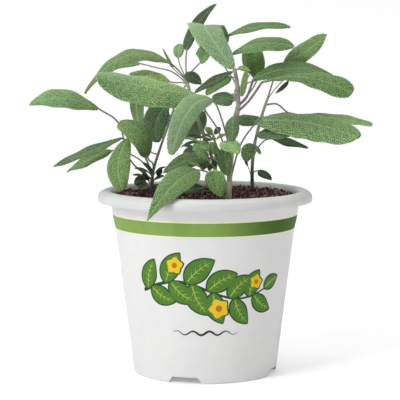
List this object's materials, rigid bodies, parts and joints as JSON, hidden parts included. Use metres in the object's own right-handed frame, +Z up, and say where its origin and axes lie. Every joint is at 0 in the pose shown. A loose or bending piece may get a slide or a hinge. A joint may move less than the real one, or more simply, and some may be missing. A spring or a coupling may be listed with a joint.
{
  "type": "potted sage",
  "caption": "Young kitchen sage with long pebbled grey-green leaves on several leafy stems, growing in compost in a white, round, tapered nursery pot with a rolled rim.",
  "frame": {"origin": "centre of the pot's resting ring, on the pot's axis, at the surface it stands on", "axes": "+Z up along the pot's axis, the printed front of the pot towards -Y, +X to the right as seen from the front"},
  "size_m": [0.1827, 0.1269, 0.1974],
  "materials": {
    "pot_plastic": "thin white injection-moulded plastic, satin, with a printed green band and sprig",
    "compost": "moist, crumbly, dark brown peat compost",
    "sage": "velvety pebbled grey-green leaves with pale veins and undersides, on downy stems"
  },
  "bodies": {
    "root": {"pot": "pot_plastic", "soil": "compost", "stem_left": "sage", "stem_centre": "sage", "stem_right": "sage", "stem_rear": "sage", "stem_rear_right": "sage", "stem_middle": "sage"}
  },
  "joints": []
}
